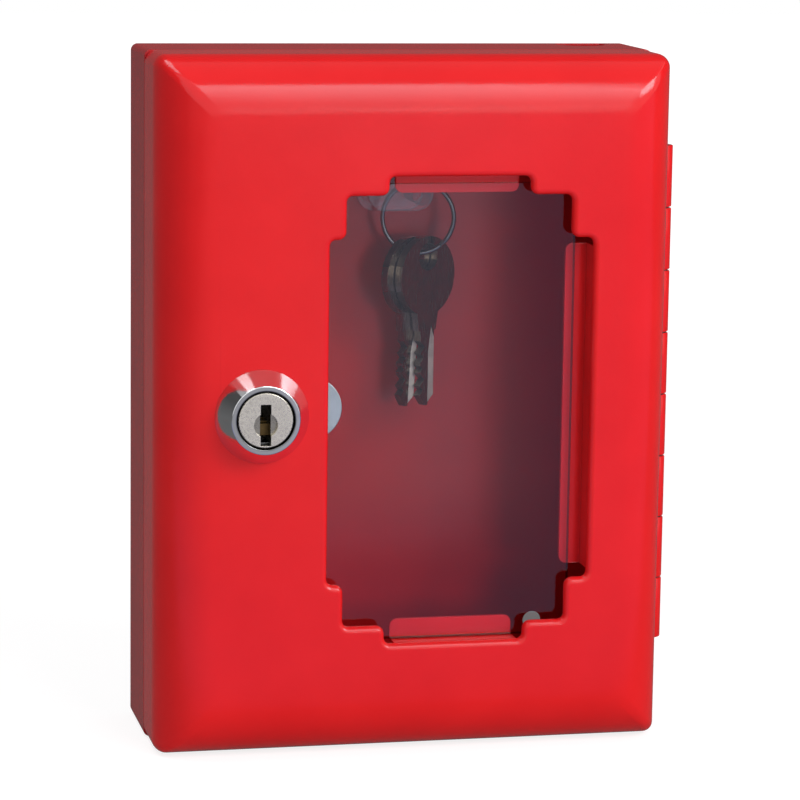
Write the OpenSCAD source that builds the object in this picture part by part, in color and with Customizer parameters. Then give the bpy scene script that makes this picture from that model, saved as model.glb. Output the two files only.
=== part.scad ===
// Break glass key box: a shallow steel tray with a bevelled steel door on a piano hinge,
// a glazed window in the door, a cam lock, and two keys on a clear hook inside.
// The origin is the centre of the four wall holes on the back face.
// +X is the hinge side, -Y is the front and +Z is up. Sizes are in millimetres.

/* [Box] */
// Outside width of the tray and the door
box_w = 120; // [112:1:160]
// Outside height of the tray and the door
box_h = 161; // [150:1:220]
// Depth of the back tray
tray_d = 22.5; // [21:0.5:40]
// Thickness of the sheet steel
sheet_t = 1; // [0.8:0.05:1.2]
// Outside radius of the tray's four corners
tray_r = 1.6; // [1.4:0.1:5]
// Distance between the wall holes across the box
hole_sx = 79; // [50:1:100]
// Distance between the wall holes up the box
hole_sz = 122.5; // [80:0.5:136]
// Diameter of a wall hole
hole_d = 4.6; // [3:0.1:6]
// Radius of the hole for a cable in the top, which the back plate cuts short
notch_r = 5.9; // [4:0.1:8]
// Distance of that hole's middle from the back face
notch_back = 3.5; // [2:0.1:6]
// Distance from the hinge side to that hole's middle
notch_in = 12.2; // [11:0.1:40]

/* [Door] */
// Gap between the rims of the tray and the door
shut_gap = 0.3; // [0.2:0.05:0.6]
// Depth of the door's straight rim
skirt_d = 12.7; // [12.6:0.1:20]
// Radius of the bevel round the door's face
bevel_r = 12.5; // [10:0.1:12.5]
// Outside radius of the door's four corners
door_r = 3; // [2:0.1:6]

/* [Window] */
// Distance from the lock's axis to the window's middle
win_off = 45.4; // [44.8:0.1:46]
// Height of the window's middle
win_z = -0.3; // [-5:0.1:5]
// Width of the window's top and bottom steps
win_w1 = 32.8; // [31.4:0.1:36]
// Width of the window's middle steps
win_w2 = 52.4; // [48:0.1:56]
// Width of the window between its sides
win_w3 = 61.4; // [60:0.1:62]
// Shift of the window's sides and flaps towards the hinge
side_off = 0.7; // [0:0.1:1]
// Height of the window between its top and bottom
win_h1 = 107.8; // [104:0.1:114]
// Height of the window's middle steps
win_h2 = 99.2; // [94:0.1:101]
// Height of the window's sides
win_h3 = 79.4; // [78:0.1:84]
// Radius of the window's corners
win_r = 1.4; // [0.8:0.1:2]
// Radius of the rolled edge round the window
roll_r = 1.4; // [1.2:0.1:1.8]
// Straight depth of the edge behind its roll
roll_run = 0.4; // [0.2:0.1:1.2]
// Length of the top and bottom flaps
flap_l = 29; // [20:0.5:30]
// Length of the two side tabs
side_l = 75.4; // [60:0.1:76]
// Reach of the top and bottom flaps from the window's edge
flap_w = 4.3; // [3:0.1:6]
// Reach of the side flap from the window's edge
side_w = 4.9; // [4.6:0.1:5.6]
// Corner radius of a flap
flap_r = 1.8; // [1:0.1:2.2]
// Length of the stops in front of the glass
stop_l = 5; // [4:0.1:6]

/* [Glass] */
// Thickness of the glass
glass_t = 2; // [1.6:0.1:2.2]
// Depth of the glass behind the door's face
glass_set = 5; // [4:0.1:5.1]
// Play between the glass and the tabs that hold it
glass_play = 0.15; // [0.1:0.05:0.25]
// Spare space between the glass and the opening side of the window
glass_left = 0.3; // [0.2:0.1:0.6]
// Spare space between the glass and the hinge side of the window
glass_right = 3.2; // [2.4:0.1:3.4]
// Spare space above the glass
glass_top = 2; // [0.5:0.1:2.4]

/* [Hinge] */
// Length of the hinge
hinge_l = 119.2; // [80:0.4:130]
// Height of the hinge's middle
hinge_z = -1.3; // [-8:0.1:8]
// Number of knuckles
knuckles = 8; // [4:2:12]
// Outside diameter of a knuckle
knuckle_d = 5.5; // [5.4:0.1:7]
// Diameter of the hinge pin
pin_d = 3.4; // [2:0.1:3.4]
// Radial clearance of the pin in the knuckles
pin_fit = 0.05; // [0.03:0.01:0.1]
// Thickness of a hinge leaf
leaf_t = 1; // [0.8:0.1:1]
// Width of the flat part of a leaf
leaf_w = 8.6; // [6:0.1:9]
// Gap between one knuckle and the next
knuckle_gap = 0.3; // [0.2:0.05:0.5]
// Gap between the knuckles and the wall beside them
knuckle_off = 0.15; // [0.1:0.05:0.5]
// Gap between a leaf and the other leaf's knuckles
leaf_gap = 0.3; // [0.2:0.05:0.5]

/* [Lock] */
// Distance from the opening side to the lock's axis
lock_in = 23.2; // [23:0.1:24]
// Height of the lock's axis
lock_z = -0.3; // [-5:0.1:5]
// Diameter of the lock's head on the door
head_d = 21.7; // [20:0.1:23]
// Diameter of the head's front rim
head_rim_d = 15.6; // [15:0.1:18]
// Height of the head in front of the door
head_h = 5.3; // [4.4:0.1:7]
// Diameter of the lock's barrel
barrel_d = 18; // [17.4:0.1:18.4]
// Width of the barrel across its two flats
barrel_flat = 16; // [15:0.1:17]
// Length of the barrel behind the door's face
barrel_l = 8.8; // [8.6:0.1:9.4]
// Clearance round the barrel in the door and the washer
barrel_fit = 0.15; // [0.1:0.05:0.3]
// Clearance of the thread in the nut
thread_fit = 0.05; // [0.03:0.01:0.1]
// Diameter of the plug's head
plug_head_d = 13.2; // [12.6:0.1:13.6]
// Length of the plug's head
plug_head_l = 3; // [2:0.1:3.2]
// Bevel round the plug's face
plug_bevel = 0.5; // [0.3:0.1:0.7]
// Diameter of the plug
plug_d = 11; // [10.8:0.1:12]
// Radial clearance of the plug in the barrel
plug_fit = 0.05; // [0.03:0.01:0.1]
// Lengthwise clearance of the plug in the barrel
plug_float = 0.2; // [0.1:0.05:0.3]
// Depth of the plug's face below the rim
plug_sink = 0.2; // [0.1:0.1:0.5]
// Width of the keyway
keyway_w = 2.4; // [2.2:0.1:2.6]
// Height of the keyway
keyway_h = 9.4; // [8.4:0.1:9.6]
// Distance of the keyway's middle below the plug's
keyway_drop = 1.1; // [0.9:0.1:1.2]
// Diameter of the recess in the middle of the keyway
eye_d = 5.4; // [4:0.1:6]
// Depth of that recess
eye_l = 0.9; // [0.5:0.1:1]
// Width of the nut across its flats
nut_af = 20.4; // [20:0.1:21]
// Thickness of the nut
nut_t = 2.5; // [2:0.1:3]
// Diameter of the washer under the nut
washer_d = 20.6; // [20:0.1:21]
// Thickness of the washer
washer_t = 1; // [0.6:0.1:1.2]

/* [Wafers] */
// Distance from the plug's head to the first wafer
wafer_in = 0.9; // [0.7:0.05:1]
// Distance from one wafer to the next
wafer_pitch = 2.1; // [2:0.05:2.2]
// Thickness of a wafer
wafer_t = 0.9; // [0.7:0.05:1]
// Width of a wafer
wafer_w = 6; // [5.6:0.1:6.2]
// Height of a wafer
wafer_h = 8; // [7.6:0.1:8.2]
// Clearance round a wafer in its slot
wafer_fit = 0.1; // [0.08:0.01:0.12]
// Width of the window in a wafer
wafer_hole_w = 2.8; // [2.6:0.1:3]
// Height of the window in a wafer
wafer_hole_h = 4.4; // [3.6:0.1:4.8]

/* [Cam] */
// Reach of the cam from the lock's axis to its tip
cam_reach = 20.2; // [19:0.1:20.4]
// Width of the cam
cam_w = 14.4; // [12:0.1:16]
// Thickness of the cam
cam_t = 2; // [1.5:0.1:2.5]
// Width of the plug's square tail
tail_w = 6.5; // [5.5:0.1:7]
// Clearance round the tail in the cam
tail_fit = 0.05; // [0.03:0.01:0.1]
// Gap between the barrel and the cam
cam_gap = 0.3; // [0.2:0.05:0.4]
// Diameter of the cam washer
cam_washer_d = 9.6; // [9.2:0.1:11]
// Thickness of the cam washer
cam_washer_t = 0.8; // [0.5:0.1:1]
// Diameter of the cam screw's thread
screw_d = 3.4; // [3:0.1:3.6]
// Length of the cam screw below its head
screw_l = 4.8; // [4:0.1:5]
// Diameter of the cam screw's head
screw_head_d = 6.4; // [5.6:0.1:7]
// Height of the cam screw's head
screw_head_h = 1.7; // [1.5:0.1:2.2]

/* [Catch] */
// Thickness of the catch bracket
catch_t = 1.2; // [1:0.1:1.5]
// Height of the catch bracket
catch_h = 25; // [22:0.5:34]
// Reach of the bracket's front flange from the tray wall
catch_w = 9; // [6:0.1:9.4]
// Step of the bracket's front half away from the tray wall
catch_step = 1.8; // [1.4:0.1:1.8]
// Play between the cam and the flange
catch_play = 0.3; // [0.2:0.05:0.5]
// Length of the bracket's welded half
catch_weld = 14; // [8:0.5:16]
// Distance of the welded half behind the tray's rim
catch_in = 1.5; // [1:0.1:3]
// Space above and below the cam in the bracket's slot
catch_side = 1; // [0.5:0.1:2]

/* [Hook] */
// Sideways place of the hook's arm
arm_x = 7.2; // [3:0.1:14]
// Distance from the top of the box to the hook's arm
hook_in = 35.1; // [31:0.1:40]
// Diameter of the arm
arm_d = 4.4; // [3.5:0.1:5]
// Distance of the lip's rear face from the tray's back
lip_y = 13.8; // [13.6:0.1:16]
// Width of the lip
lip_w = 15.6; // [15:0.1:18]
// Height of the lip
lip_h = 9.4; // [9:0.1:12]
// Corner radius of the lip
lip_r = 4.2; // [3:0.1:4.4]
// Thickness of the lip
lip_t = 1.8; // [1.2:0.1:2.5]
// Sideways shift of the lip from the arm
lip_shift = -5.4; // [-5.6:0.1:0]
// Height of the lip's middle over the arm's
lip_rise = 1.5; // [0:0.1:2.4]
// Width of the hook's base plate
base_w = 16; // [15.4:0.1:22]
// Height of the hook's base plate
base_h = 24; // [22:0.5:28]
// Height of the base plate's middle over the lip's
base_rise = 6.1; // [4:0.1:6.4]
// Thickness of the base plate
base_t = 1.6; // [1:0.1:2]
// Corner radius of the base plate
base_r = 4; // [2:0.1:6]
// Thickness of the adhesive pad
pad_t = 0.8; // [0.5:0.1:1.2]
// Margin of the pad inside the base plate
pad_in = 1; // [0.5:0.1:1.5]

/* [Ring] */
// Outside diameter of the split ring
ring_d = 18; // [17:0.1:20]
// Diameter of the ring's wire
wire_d = 1.1; // [1:0.05:1.2]
// Distance between the ring's two turns, from middle to middle
turn_gap = 1.04; // [0.9:0.01:1.1]
// Distance of the ring's centre from the tray's back
ring_y = 10; // [9.6:0.1:10.2]
// Turn of the ring about the vertical, in degrees
ring_turn = -12.5; // [-14:0.5:-8]
// Gap between the ring and the arm that it hangs on
ring_play = 0.3; // [0.2:0.05:0.4]

/* [Keys] */
// Thickness of a key
key_t = 2; // [1.6:0.1:2.1]
// Diameter of the key's bow
bow_d = 19; // [18:0.1:22]
// Diameter of the hole in the bow
bow_hole_d = 6.6; // [6.6:0.1:7]
// Distance of the hole's middle above the bow's
bow_hole_up = 4.6; // [3.6:0.1:4.8]
// Distance of the hole's middle below the ring's wire
key_drop = 1; // [0.8:0.1:1.1]
// Width of the neck above the blade
neck_w = 5.9; // [5.4:0.1:7]
// How much wider the neck is where it joins the bow
neck_flare = 1.6; // [0:0.1:2]
// Length of the neck below the bow
neck_l = 3.6; // [2:0.1:5]
// Width of the blade
blade_w = 4.8; // [4.4:0.1:5.2]
// Length of the blade
blade_l = 18; // [15:0.1:24]
// Depth of the sloping groove along each side of the blade
groove_t = 0.7; // [0.3:0.1:0.7]
// Width of that groove
groove_w = 2; // [1.6:0.1:2.4]
// Height of the groove's point above the blade
groove_up = 1.4; // [0.5:0.1:2.5]
// Distance from one cut in the blade to the next
cut_pitch = 2.6; // [2.2:0.1:2.8]
// Turn of the keys about the vertical, in degrees
key_turn = 35.6; // [33:0.1:38]
// Gap between the two keys
key_gap = 0.3; // [0.2:0.05:0.4]
// Place on the ring's wire halfway between the keys, sideways from the ring's middle
key_mid = 0.3; // [0:0.1:0.4]
// Lean of the rear key in its own plane, in degrees
key_fan = 4; // [0:0.5:6]

/* [Hidden] */
$fn = 64;

red = [0.82, 0.07, 0.09];
zinc = [0.62, 0.63, 0.64];
chrome = [0.8, 0.81, 0.83];
brass = [0.72, 0.55, 0.25];
nickel = [0.66, 0.64, 0.58];
clear = [0.85, 0.9, 0.92, 0.5];
over = 1;                                   // how far a cutter runs past what it cuts

// Planes from the back to the front
door_y = -tray_d - shut_gap;                // rear rim of the door
bevel_y = door_y - skirt_d;                 // where the bevel starts
face_y = bevel_y - bevel_r;                 // front of the door's face
wall_x = box_w/2 - sheet_t;                 // inside of a side wall
lip_d = roll_r + roll_run;                  // depth of the rolled edge round the window
stop_d = glass_set - glass_play;            // depth of the stops in front of the glass
flap_d = glass_set + glass_t + glass_play;  // depth of a flap's front

// The lock's places along its axis, with the door's face at 0 and the front positive
lock_x = lock_in - box_w/2;
win_x = lock_x + win_off;
step_x = (win_w1 + win_w2)/4;               // middle of the edges between the steps
step_z = (win_h2 + win_h3)/4;
plug_front = head_h - plug_sink;
plug_step = plug_front - plug_head_l;
plug_back = -barrel_l - cam_gap;
cam_back = plug_back - cam_t;
screw_seat = cam_back - cam_washer_t;
wafer_count = 4;
wafer_last = plug_step - wafer_in - (wafer_count - 1)*wafer_pitch - wafer_t;
wafer_drop = [0.5, 0.2, 0.4, 0.1];          // how low each wafer's window lies
screw_hole = screw_l + 0.3;
cam_y = face_y - plug_back;                 // front of the cam

// Hinge
pitch = hinge_l/knuckles;
axis_x = box_w/2 + knuckle_off + knuckle_d/2;
axis_y = -tray_d - shut_gap/2;

// Catch
catch_x = -wall_x + catch_step;
catch_y = cam_y - catch_play;               // rear of the flange
slot_y = cam_y + cam_t + catch_play;        // rear of the slot

// Ring and keys
arm_z = box_h/2 - hook_in;
coil_r = (ring_d - wire_d)/2;
ring_z = arm_z - (ring_d/2 - wire_d - arm_d/2 - ring_play);
key_step = (key_t + key_gap)/sin(key_turn - ring_turn);

// A flat shape in X and Z, thickened from y towards the front
module plate(y, t) {
    translate([0, y, 0]) rotate([90, 0, 0]) linear_extrude(t) children();
}

// The same between two depths behind the door's face
module inside(from, to) {
    plate(face_y + to, to - from) children();
}

module rounded(w, h, r) {
    square([w - 2*r, h], center=true);
    square([w, h - 2*r], center=true);
    for (x = [-1, 1], z = [-1, 1]) translate([x*(w/2 - r), z*(h/2 - r)]) circle(r);
}

// Half of the section across the door, from the middle out to the given side
module door_section(side, r, back) {
    translate([-over, bevel_y]) square([side + over, back - bevel_y]);
    translate([-over, bevel_y - r]) square([side - r + over, r + over]);
    translate([side - r, bevel_y]) circle(r);
}

// One of two trimmers that round the door's bevel: both halves of the section, drawn out
module door_bar(side, length, r, back) {
    translate([0, 0, -length/2]) linear_extrude(length) {
        door_section(side, r, back);
        mirror([1, 0]) door_section(side, r, back);
    }
}

// The door's outer form, or its hollow when inset by the sheet and run out at the back
module door_form(inset, back) {
    w = box_w - 2*inset;
    h = box_h - 2*inset;
    r = bevel_r - inset;
    intersection() {
        plate(back, back - face_y - inset) rounded(w, h, door_r - inset);
        door_bar(w/2, h + 2*over, r, back + over);
        rotate([0, 90, 0]) door_bar(h/2, w + 2*over, r, back + over);
    }
}

// The stepped outline of the window, grown by g
module window_outline(g) {
    rounded(win_w1 + 2*g, win_h1 + 2*g, win_r + g);
    rounded(win_w2 + 2*g, win_h2 + 2*g, win_r + g);
    translate([side_off, 0]) rounded(win_w3 + 2*g, win_h3 + 2*g, win_r + g);
}

// The section of the rolled edge: what a straight length of it cuts away outside s
module roll_section(s) {
    difference() {
        translate([s - over, -over]) square([roll_r + over, roll_r + over]);
        translate([s + roll_r, roll_r]) circle(roll_r);
    }
}

// The flare that rolls the edge of one rectangle of the window
module window_flare(w, h) {
    for (s = [0, 180]) {
        rotate([0, s, 0]) translate([0, 0, -h/2 + win_r]) linear_extrude(h - 2*win_r)
            translate([0, face_y]) roll_section(w/2);
        rotate([0, s + 90, 0]) translate([0, 0, -w/2 + win_r]) linear_extrude(w - 2*win_r)
            translate([0, face_y]) roll_section(h/2);
    }
    for (x = [-1, 1], z = [-1, 1])
        translate([x*(w/2 - win_r), face_y, z*(h/2 - win_r)]) rotate([-90, 0, 0])
            rotate_extrude() difference() {
                translate([0, -over]) square([win_r + roll_r, roll_r + over]);
                translate([win_r + roll_r, roll_r]) circle(roll_r);
            }
}

// A tab that runs on from the rolled edge, s being its side of the window
module tab(s, length, reach) {
    translate([s, -length/2]) square([sheet_t, length]);
    if (reach > 0) {
        translate([s - reach + flap_r, -length/2]) square([reach + sheet_t - flap_r, length]);
        translate([s - reach, flap_r - length/2]) square([reach, length - 2*flap_r]);
        for (z = [-1, 1]) translate([s - reach + flap_r, z*(length/2 - flap_r)]) circle(flap_r);
    }
}

module back_box() color(red) difference() {
    plate(0, tray_d) rounded(box_w, box_h, tray_r);
    plate(-sheet_t, tray_d) rounded(box_w - 2*sheet_t, box_h - 2*sheet_t, tray_r - sheet_t);
    for (x = [-1, 1], z = [-1, 1])
        plate(over, sheet_t + 2*over) translate([x*hole_sx/2, z*hole_sz/2]) circle(d=hole_d);
    translate([box_w/2 - notch_in, 0, box_h/2 - sheet_t - 0.01]) linear_extrude(sheet_t + over) intersection() {
        translate([0, -notch_back]) circle(notch_r);
        translate([-notch_r, -tray_d]) square([2*notch_r, tray_d - sheet_t]);
    }
}

module catch_bracket() color(red) translate([0, 0, lock_z]) difference() {
    translate([0, 0, -catch_h/2]) linear_extrude(catch_h) {
        joggle_y = -tray_d + catch_in;
        translate([-wall_x, joggle_y]) square([catch_t, catch_weld]);
        translate([-wall_x, joggle_y]) square([catch_step + catch_t, catch_t]);
        translate([catch_x, catch_y - catch_t]) square([catch_t, joggle_y + 2*catch_t - catch_y]);
        translate([catch_x, catch_y - catch_t]) square([catch_w - catch_step, catch_t]);
    }
    translate([catch_x - over, catch_y, -cam_w/2 - catch_side])
        cube([catch_t + over + 0.01, slot_y - catch_y, cam_w + 2*catch_side]);
}

// A hinge leaf for the knuckles with the given remainder, lying to the rear or the front
module hinge_leaf(first, side) color(red) translate([axis_x, axis_y, hinge_z]) difference() {
    edge = knuckle_d/2 + leaf_gap;
    wall = -knuckle_d/2 - knuckle_off;
    union() {
        translate([wall, side > 0 ? edge : -edge - leaf_w, -hinge_l/2]) cube([leaf_t, leaf_w, hinge_l]);
        for (k = [first : 2 : knuckles - 1]) translate([0, 0, hinge_l/2 - (k + 1)*pitch + knuckle_gap/2]) {
            cylinder(d=knuckle_d, h=pitch - knuckle_gap);
            translate([wall, side > 0 ? 0 : -edge - over, 0])
                cube([leaf_t, edge + over, pitch - knuckle_gap]);
        }
    }
    translate([0, 0, -hinge_l]) cylinder(r=pin_d/2 + pin_fit, h=2*hinge_l);
}

module hinge_leaf_box() hinge_leaf(0, 1);
module hinge_leaf_door() hinge_leaf(1, -1);

module hinge_pin() color(zinc) translate([axis_x, axis_y, hinge_z - hinge_l/2])
    cylinder(d=pin_d, h=hinge_l);

module door() color(red) difference() {
    union() {
        difference() {
            door_form(0, door_y);
            door_form(sheet_t, door_y + over);
        }
        translate([win_x, 0, win_z]) {
            inside(sheet_t/2, lip_d) window_outline(sheet_t);
            inside(lip_d - 0.01, flap_d + sheet_t) translate([side_off, 0]) {
                tab(win_w3/2, side_l, 0);
                mirror([1, 0]) tab(win_w3/2, side_l, 0);
                for (a = [90, -90]) rotate(a) tab(win_h1/2, flap_l, 0);
            }
            inside(flap_d, flap_d + sheet_t) translate([side_off, 0]) {
                tab(win_w3/2, side_l, side_w);
                for (a = [90, -90]) rotate(a) tab(win_h1/2, flap_l, flap_w);
            }
            inside(lip_d - 0.01, stop_d) {
                for (z = [-1, 1]) translate([0, z*step_z]) rotate(180) tab(win_w2/2, stop_l, 0);
                for (x = [-1, 1]) translate([x*step_x, 0]) rotate(90) tab(win_h2/2, stop_l, 0);
            }
        }
    }
    translate([win_x, 0, win_z]) {
        inside(-over, lip_d) window_outline(0);
        window_flare(win_w1, win_h1);
        window_flare(win_w2, win_h2);
        translate([side_off, 0, 0]) window_flare(win_w3, win_h3);
    }
    translate([lock_x, face_y, lock_z]) rotate([-90, 0, 0]) translate([0, 0, -over])
        barrel_form(barrel_fit, sheet_t + 2*over);
}

module glass_pane() color(clear) {
    low = win_z - win_h1/2 + glass_play;
    high = win_z + win_h1/2 - glass_top;
    inside(glass_set, glass_set + glass_t)
        translate([win_x + side_off - win_w3/2 + glass_left, low])
            square([win_w3 - glass_left - glass_right, high - low]);
}

// Puts a lock piece drawn along Z, with the front up, at its place in the door
module in_lock(depth=0) {
    translate([lock_x, face_y - depth, lock_z]) rotate([90, 0, 0]) children();
}

module barrel_form(fit, length) {
    intersection() {
        cylinder(d=barrel_d + 2*fit, h=length);
        translate([-barrel_d, -barrel_flat/2 - fit, 0]) cube([2*barrel_d, barrel_flat + 2*fit, length]);
    }
}

module lock_housing() color(chrome) in_lock() difference() {
    union() {
        cylinder(d1=head_d, d2=head_rim_d, h=head_h);
        translate([0, 0, -barrel_l]) barrel_form(0, barrel_l + 0.01);
    }
    translate([0, 0, -barrel_l - over]) cylinder(r=plug_d/2 + plug_fit, h=barrel_l + head_h + 2*over);
    translate([0, 0, plug_step - plug_float]) cylinder(r=plug_head_d/2 + plug_fit, h=head_h);
}

module lock_washer() color(zinc) in_lock(-sheet_t - washer_t) difference() {
    cylinder(d=washer_d, h=washer_t);
    translate([0, 0, -over]) barrel_form(barrel_fit, washer_t + 2*over);
}

module lock_nut() color(zinc) in_lock(-sheet_t - washer_t - nut_t) difference() {
    rotate(30) cylinder(r=nut_af/2/cos(30), h=nut_t, $fn=6);
    translate([0, 0, -over]) cylinder(d=barrel_d + 2*thread_fit, h=nut_t + 2*over);
}

// The slot for one wafer, or the wafer itself, without its window
module wafer_block(i, fit) {
    translate([-wafer_w/2 - fit, -wafer_h/2 - fit, plug_step - wafer_in - i*wafer_pitch - wafer_t - fit])
        cube([wafer_w + 2*fit, wafer_h + 2*fit, wafer_t + 2*fit]);
}

module lock_plug() color(nickel) in_lock() difference() {
    union() {
        translate([0, 0, plug_back]) cylinder(d=plug_d, h=plug_front - plug_back - plug_bevel);
        translate([0, 0, plug_step]) cylinder(d=plug_head_d, h=plug_head_l - plug_bevel);
        translate([0, 0, plug_front - plug_bevel])
            cylinder(d1=plug_head_d, d2=plug_head_d - 2*plug_bevel, h=plug_bevel);
        translate([-tail_w/2, -tail_w/2, cam_back + 0.1])
            cube([tail_w, tail_w, plug_back - cam_back]);
    }
    translate([-keyway_w/2, -keyway_h/2 - keyway_drop, wafer_last])
        cube([keyway_w, keyway_h, plug_front - wafer_last + over]);
    translate([0, -keyway_drop, plug_front - eye_l]) cylinder(d=eye_d, h=eye_l + over);
    translate([0, 0, cam_back - over]) cylinder(r=screw_d/2 + thread_fit, h=over + screw_hole - cam_washer_t);
    for (i = [0 : wafer_count - 1]) wafer_block(i, wafer_fit);
}

module wafer(i) color(brass) in_lock() difference() {
    wafer_block(i, 0);
    translate([-wafer_hole_w/2, wafer_h/2 - 1 - wafer_hole_h - wafer_drop[i] + 0.5, wafer_last - over])
        cube([wafer_hole_w, wafer_hole_h, plug_front - wafer_last]);
}

module lock_cam() color(zinc) in_lock(plug_back - cam_t) difference() {
    linear_extrude(cam_t) {
        circle(d=cam_w);
        translate([0, -cam_w/2]) square([cam_reach - cam_w/2, cam_w]);
        translate([cam_reach - cam_w/2, 0]) circle(d=cam_w);
    }
    translate([-tail_w/2 - tail_fit, -tail_w/2 - tail_fit, -over])
        cube([tail_w + 2*tail_fit, tail_w + 2*tail_fit, cam_t + 2*over]);
}

module cam_washer() color(zinc) in_lock(screw_seat) difference() {
    cylinder(d=cam_washer_d, h=cam_washer_t);
    translate([0, 0, -over]) cylinder(r=screw_d/2 + thread_fit, h=cam_washer_t + 2*over);
}

module cam_screw() color(zinc) in_lock(screw_seat - screw_head_h) difference() {
    union() {
        cylinder(d=screw_head_d, h=screw_head_h);
        cylinder(d=screw_d, h=screw_head_h + screw_l);
    }
    for (a = [0, 90]) rotate(a) translate([-screw_head_d/4, -0.35, -over])
        cube([screw_head_d/2, 0.7, over + screw_head_h/2]);
}

module key_hook() color(clear) {
    front = -sheet_t - pad_t - base_t;
    translate([arm_x + lip_shift, 0, arm_z + lip_rise]) {
        plate(-sheet_t - pad_t, base_t) translate([0, base_rise]) rounded(base_w, base_h, base_r);
        plate(-lip_y, lip_t) rounded(lip_w, lip_h, lip_r);
    }
    translate([arm_x, 0, arm_z]) plate(front + 0.01, lip_y + front + 0.02) circle(d=arm_d);
}

module hook_pad() color([0.9, 0.9, 0.9]) translate([arm_x + lip_shift, 0, arm_z + lip_rise + base_rise])
    plate(-sheet_t, pad_t) rounded(base_w - 2*pad_in, base_h - 2*pad_in, base_r - pad_in);

module split_ring() color(chrome) translate([arm_x, -ring_y, ring_z]) rotate([90, 0, ring_turn])
    rotate_extrude() for (s = [-1, 1]) translate([coil_r, s*turn_gap/2]) circle(d=wire_d);

// A key with the middle of its hole at the origin, flat in X and Z
module key() difference() {
    low = -bow_hole_up - bow_d/2 - neck_l;
    plate(key_t/2, key_t) difference() {
        union() {
            translate([0, -bow_hole_up]) circle(d=bow_d);
            polygon([[-neck_w/2, low], [neck_w/2, low],
                [(neck_w + neck_flare)/2, low + neck_l + over], [neck_w/2, -bow_hole_up],
                [-neck_w/2, -bow_hole_up], [-(neck_w + neck_flare)/2, low + neck_l + over]]);
            translate([0, low - blade_l]) polygon([[-blade_w/2, blade_w/2], [-blade_w/10, 0],
                [blade_w/10, 0], [blade_w/2, blade_w/2], [blade_w/2, blade_l + over],
                [-blade_w/2, blade_l + over]]);
        }
        circle(d=bow_hole_d);
        for (i = [1 : floor((blade_l - blade_w)/cut_pitch)])
            translate([-blade_w/2, low - blade_l + blade_w/2 + (i - 0.5)*cut_pitch]) rotate(45)
                square(1.1 + 0.5*(i % 3), center=true);
    }
    for (s = [-1, 1]) translate([blade_w/2, s*key_t/2, low - blade_l - over]) intersection() {
        linear_extrude(blade_l + 2*over + groove_up)
            polygon([[-groove_w, s*over], [-groove_w, -s*groove_t], [over, 0.3*s], [over, s*over]]);
        plate(key_t, 2*key_t) polygon([[-groove_w, 0], [over, 0], [over, blade_l - 4],
            [-groove_w/2, blade_l + over + groove_up], [-groove_w, blade_l - 4]]);
    }
}

// A key hung on the ring's wire, s steps along it from the middle of the pair
module hung(s, lean) {
    a = key_mid + s*key_step;
    translate([arm_x, -ring_y, ring_z]) rotate(ring_turn)
        translate([a, 0, -sqrt(coil_r*coil_r - a*a) - key_drop]) rotate(key_turn - ring_turn)
            rotate([0, lean, 0]) children();
}

module front_key() color(nickel) hung(0.5, 0) key();
module rear_key() color(nickel) hung(-0.5, key_fan) key();

back_box();
catch_bracket();
hinge_leaf_box();
hinge_leaf_door();
hinge_pin();
door();
glass_pane();
lock_housing();
lock_washer();
lock_nut();
lock_plug();
wafer(0);  // wafer_1
wafer(1);  // wafer_2
wafer(2);  // wafer_3
wafer(3);  // wafer_4
lock_cam();
cam_washer();
cam_screw();
key_hook();
hook_pad();
split_ring();
front_key();
rear_key();
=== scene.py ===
import math

import bmesh
import bpy
from mathutils import Matrix, Vector


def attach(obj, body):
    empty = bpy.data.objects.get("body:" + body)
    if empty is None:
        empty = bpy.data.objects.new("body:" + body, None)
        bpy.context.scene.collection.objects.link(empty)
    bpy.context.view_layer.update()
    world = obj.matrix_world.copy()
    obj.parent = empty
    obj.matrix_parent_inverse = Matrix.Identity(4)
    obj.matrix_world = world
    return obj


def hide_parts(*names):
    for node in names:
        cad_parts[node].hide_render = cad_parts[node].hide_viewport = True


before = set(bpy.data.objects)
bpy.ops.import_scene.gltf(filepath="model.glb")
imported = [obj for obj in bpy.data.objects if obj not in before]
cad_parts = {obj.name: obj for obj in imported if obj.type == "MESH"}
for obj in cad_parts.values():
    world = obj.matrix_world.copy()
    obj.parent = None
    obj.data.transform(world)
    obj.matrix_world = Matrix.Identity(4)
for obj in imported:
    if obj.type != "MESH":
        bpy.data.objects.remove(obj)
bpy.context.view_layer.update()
mm = 0.001  # sizes in this file are in millimetres
print("frame loaded with", len(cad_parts), "solids")


class Signal:  # a node's socket, so that shader maths reads as maths
    def __init__(self, nodes, socket):
        self.nodes = nodes
        self.socket = socket

    def maths(self, operation, first, second):
        return self.nodes.add("ShaderNodeMath", {"operation": operation}, {0: first, 1: second})

    def __add__(self, other):
        return self.maths("ADD", self, other)

    def __sub__(self, other):
        return self.maths("SUBTRACT", self, other)

    def __rsub__(self, other):
        return self.maths("SUBTRACT", other, self)

    def __mul__(self, other):
        return self.maths("MULTIPLY", self, other)

    __radd__ = __add__
    __rmul__ = __mul__


class Nodes:  # the nodes of one tree
    def __init__(self, tree):
        self.tree = tree

    def add(self, kind, settings, sockets, output=0):
        node = self.tree.nodes.new(kind)
        for name, value in settings.items():
            setattr(node, name, value)
        for name, value in sockets.items():
            if isinstance(value, Signal):
                self.tree.links.new(value.socket, node.inputs[name])
            else:
                node.inputs[name].default_value = value
        return Signal(self, node.outputs[output])


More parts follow.
